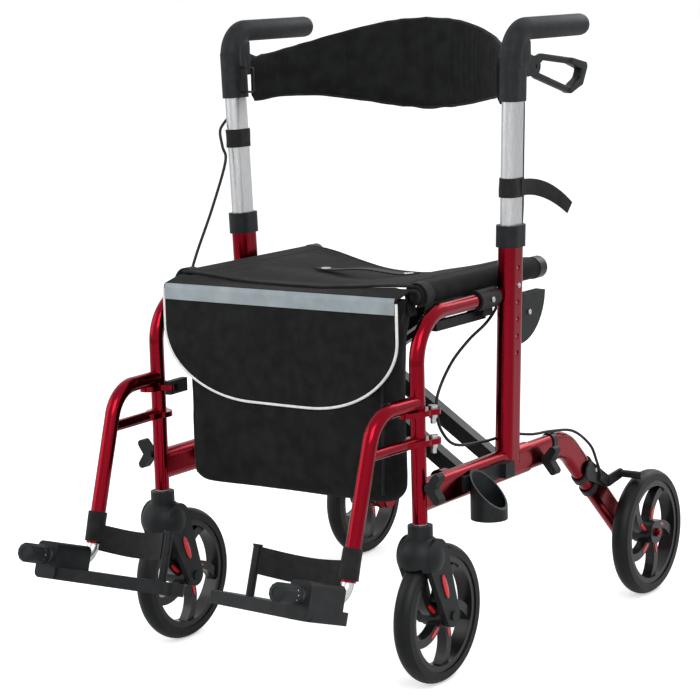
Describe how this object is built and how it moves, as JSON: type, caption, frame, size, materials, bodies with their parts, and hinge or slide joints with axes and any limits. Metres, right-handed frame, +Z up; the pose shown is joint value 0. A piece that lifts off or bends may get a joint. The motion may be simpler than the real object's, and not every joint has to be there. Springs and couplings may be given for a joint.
{
  "type": "rollator transport chair",
  "caption": "Folding rollator transport chair with cross brace, cloth seat and bag, curved back strap, sliding push handles with loop brakes, casters and swing-away footrests.",
  "frame": {"origin": "on the floor under the middle of the chair's bounding box", "axes": "+Z up, the chair faces -Y, +X is the seated person's left"},
  "size_m": [0.601, 1.0422, 0.9391],
  "materials": {
    "burgundy": "glossy metallic burgundy powder coat on aluminium tube",
    "silver_tube": "satin anodised aluminium",
    "bright_steel": "zinc-plated steel",
    "dark_steel": "black painted pressed steel",
    "black_paint": "satin black powder coat",
    "black_plastic": "moulded black nylon with a fine grain",
    "grip_rubber": "soft moulded black rubber",
    "cable_cover": "smooth black cable cover",
    "grey_tyre": "dark grey solid tyre",
    "black_webbing": "woven nylon webbing",
    "black_nylon": "coated black nylon cloth with bound edges"
  },
  "bodies": {
    "frame_left": {"side_frame_left": "burgundy", "tail_tube_left": "burgundy", "post_collar_left": "black_plastic", "rail_saddle_left": "black_plastic", "post_wing_left": "black_plastic", "tube_strap_left": "black_webbing", "brake_cable_left": "cable_cover", "brake_bracket_left": "dark_steel", "cane_cup": "black_plastic"},
    "brace_a": {"brace_a": "black_paint"},
    "brace_b": {"brace_b": "black_paint"},
    "frame_right": {"side_frame_right": "burgundy", "tail_tube_right": "burgundy", "post_collar_right": "black_plastic", "rail_saddle_right": "black_plastic", "post_wing_right": "black_plastic", "brake_cable_right": "cable_cover", "brake_bracket_right": "dark_steel"},
    "seat": {"seat_sling": "black_nylon", "pull_strap": "black_webbing", "bag": "black_nylon", "bag_flap": "black_nylon"},
    "handle_left": {"handle_tube_left": "silver_tube", "grip_left": "grip_rubber", "backrest": "black_nylon"},
    "handle_right": {"handle_tube_right": "silver_tube", "grip_right": "grip_rubber", "tube_strap_right": "black_webbing"},
    "button_left": {"snap_button_left": "bright_steel"},
    "lever_left": {"brake_lever_left": "black_plastic"},
    "brake_left": {"brake_arm_left": "dark_steel"},
    "caster_left": {"caster_fork_left": "black_plastic"},
    "front_wheel_left": {"front_rim_left": "black_plastic", "front_tyre_left": "grey_tyre"},
    "rear_wheel_left": {"rear_rim_left": "black_plastic", "rear_tyre_left": "grey_tyre"},
    "footrest_left": {"hanger_left": "burgundy", "hanger_bolts_left": "bright_steel", "foot_tube_left": "silver_tube", "heel_strap_left": "black_webbing"},
    "latch_left": {"hanger_latch_left": "black_plastic"},
    "footplate_left": {"footplate_left": "black_plastic"},
    "front_knob_left": {"front_knob_left": "black_plastic"},
    "rear_knob_left": {"rear_knob_left": "black_plastic"},
    "button_right": {"snap_button_right": "bright_steel"},
    "lever_right": {"brake_lever_right": "black_plastic"},
    "brake_right": {"brake_arm_right": "dark_steel"},
    "caster_right": {"caster_fork_right": "black_plastic"},
    "front_wheel_right": {"front_rim_right": "black_plastic", "front_tyre_right": "grey_tyre"},
    "rear_wheel_right": {"rear_rim_right": "black_plastic", "rear_tyre_right": "grey_tyre"},
    "footrest_right": {"hanger_right": "burgundy", "hanger_bolts_right": "bright_steel", "foot_tube_right": "silver_tube", "heel_strap_right": "black_webbing"},
    "latch_right": {"hanger_latch_right": "black_plastic"},
    "footplate_right": {"footplate_right": "black_plastic"},
    "front_knob_right": {"front_knob_right": "black_plastic"},
    "rear_knob_right": {"rear_knob_right": "black_plastic"}
  },
  "joints": [
    {"name": "fold", "type": "hinge", "parent": "frame_left", "child": "brace_a", "pos_m": [0.206, 0, 0.285], "axis": [0, 1, 0], "range_deg": [0, 40], "deforming": ["seat_sling", "pull_strap", "bag", "bag_flap", "backrest"]},
    {"name": "brace_cross", "type": "hinge", "parent": "brace_a", "child": "brace_b", "pos_m": [0, 0, 0.4215], "axis": [0, 1, 0], "range_deg": [-80, 0]},
    {"name": "right_frame_pivot", "type": "hinge", "parent": "brace_b", "child": "frame_right", "pos_m": [-0.206, 0, 0.285], "axis": [0, 1, 0], "range_deg": [0, 40]},
    {"name": "seat_level", "type": "hinge", "parent": "brace_a", "child": "seat", "pos_m": [-0.206, 0, 0.558], "axis": [0, 1, 0], "range_deg": [-40, 0]},
    {"name": "handle_height_left", "type": "slide", "parent": "frame_left", "child": "handle_left", "axis": [0.0349, 0, 0.9994], "range_m": [-0.1016, 0.0254], "deforming": ["brake_cable_left", "snap_button_left"]},
    {"name": "button_press_left", "type": "slide", "parent": "handle_left", "child": "button_left", "axis": [0.9994, 0, -0.0349], "range_m": [-0.0055, 0], "stiffness_N_per_m": 600},
    {"name": "lever_squeeze_left", "type": "hinge", "parent": "handle_left", "child": "lever_left", "pos_m": [0.25249, 0.105, 0.86764], "axis": [0.9994, 0, -0.0349], "range_deg": [0, 11], "stiffness_Nm_per_rad": 3, "deforming": ["brake_cable_left"]},
    {"name": "brake_press_left", "type": "hinge", "parent": "frame_left", "child": "brake_left", "pos_m": [0.25, 0.34131, 0.19892], "axis": [-1, 0, 0], "range_deg": [0, 3.35]},
    {"name": "caster_swivel_left", "type": "hinge", "parent": "frame_left", "child": "caster_left", "pos_m": [0.232, -0.187, 0.243], "axis": [0, 0, 1], "continuous": true},
    {"name": "front_wheel_spin_left", "type": "hinge", "parent": "caster_left", "child": "front_wheel_left", "pos_m": [0.232, -0.146, 0.1015], "axis": [1, 0, 0], "continuous": true},
    {"name": "rear_wheel_spin_left", "type": "hinge", "parent": "frame_left", "child": "rear_wheel_left", "pos_m": [0.276, 0.424, 0.1015], "axis": [1, 0, 0], "continuous": true},
    {"name": "footrest_swing_left", "type": "hinge", "parent": "frame_left", "child": "footrest_left", "pos_m": [0.232, -0.187, 0.38], "axis": [0, 0, 1], "range_deg": [0, 90]},
    {"name": "latch_left", "type": "hinge", "parent": "footrest_left", "child": "latch_left", "pos_m": [0.20586, -0.18991, 0.402], "axis": [0, 0, 1], "range_deg": [0, 12], "stiffness_Nm_per_rad": 0.6},
    {"name": "footplate_flip_left", "type": "hinge", "parent": "footrest_left", "child": "footplate_left", "pos_m": [0.22445, -0.36707, 0.17302], "axis": [0.0399, 0.9518, -0.304], "range_deg": [0, 90], "deforming": ["heel_strap_left"]},
    {"name": "front_knob_turn_left", "type": "hinge", "parent": "frame_left", "child": "front_knob_left", "pos_m": [0.252, -0.187, 0.295], "axis": [1, 0, 0], "continuous": true},
    {"name": "rear_knob_turn_left", "type": "hinge", "parent": "frame_left", "child": "rear_knob_left", "pos_m": [0.252, 0.148, 0.271], "axis": [1, 0, 0], "continuous": true},
    {"name": "handle_height_right", "type": "slide", "parent": "frame_right", "child": "handle_right", "axis": [-0.0349, 0, 0.9994], "range_m": [-0.1016, 0.0254], "deforming": ["brake_cable_right", "snap_button_right"]},
    {"name": "button_press_right", "type": "slide", "parent": "handle_right", "child": "button_right", "axis": [-0.9994, 0, -0.0349], "range_m": [-0.0055, 0], "stiffness_N_per_m": 600},
    {"name": "lever_squeeze_right", "type": "hinge", "parent": "handle_right", "child": "lever_right", "pos_m": [-0.25249, 0.105, 0.86764], "axis": [0.9994, 0, 0.0349], "range_deg": [0, 11], "stiffness_Nm_per_rad": 3, "deforming": ["brake_cable_right"]},
    {"name": "brake_press_right", "type": "hinge", "parent": "frame_right", "child": "brake_right", "pos_m": [-0.25, 0.34131, 0.19892], "axis": [-1, 0, 0], "range_deg": [0, 3.35]},
    {"name": "caster_swivel_right", "type": "hinge", "parent": "frame_right", "child": "caster_right", "pos_m": [-0.232, -0.187, 0.243], "axis": [0, 0, 1], "continuous": true},
    {"name": "front_wheel_spin_right", "type": "hinge", "parent": "caster_right", "child": "front_wheel_right", "pos_m": [-0.232, -0.146, 0.1015], "axis": [1, 0, 0], "continuous": true},
    {"name": "rear_wheel_spin_right", "type": "hinge", "parent": "frame_right", "child": "rear_wheel_right", "pos_m": [-0.276, 0.424, 0.1015], "axis": [1, 0, 0], "continuous": true},
    {"name": "footrest_swing_right", "type": "hinge", "parent": "frame_right", "child": "footrest_right", "pos_m": [-0.232, -0.187, 0.38], "axis": [0, 0, -1], "range_deg": [0, 90]},
    {"name": "latch_right", "type": "hinge", "parent": "footrest_right", "child": "latch_right", "pos_m": [-0.20586, -0.18991, 0.402], "axis": [0, 0, -1], "range_deg": [0, 12], "stiffness_Nm_per_rad": 0.6},
    {"name": "footplate_flip_right", "type": "hinge", "parent": "footrest_right", "child": "footplate_right", "pos_m": [-0.22445, -0.36707, 0.17302], "axis": [0.0399, -0.9518, 0.304], "range_deg": [0, 90], "deforming": ["heel_strap_right"]},
    {"name": "front_knob_turn_right", "type": "hinge", "parent": "frame_right", "child": "front_knob_right", "pos_m": [-0.252, -0.187, 0.295], "axis": [1, 0, 0], "continuous": true},
    {"name": "rear_knob_turn_right", "type": "hinge", "parent": "frame_right", "child": "rear_knob_right", "pos_m": [-0.252, 0.148, 0.271], "axis": [1, 0, 0], "continuous": true}
  ],
  "couplings": [
    {"joint": "brace_cross", "follows": "fold", "ratio": -2},
    {"joint": "right_frame_pivot", "follows": "fold", "ratio": 1},
    {"joint": "seat_level", "follows": "fold", "ratio": -1},
    {"joint": "brake_press_left", "follows": "lever_squeeze_left", "ratio": 0.3},
    {"joint": "footplate_flip_left", "follows": "fold", "ratio": 2.25},
    {"joint": "brake_press_right", "follows": "lever_squeeze_right", "ratio": 0.3},
    {"joint": "footplate_flip_right", "follows": "fold", "ratio": 2.25},
    {"joint": "handle_height_right", "follows": "handle_height_left", "ratio": 1}
  ]
}
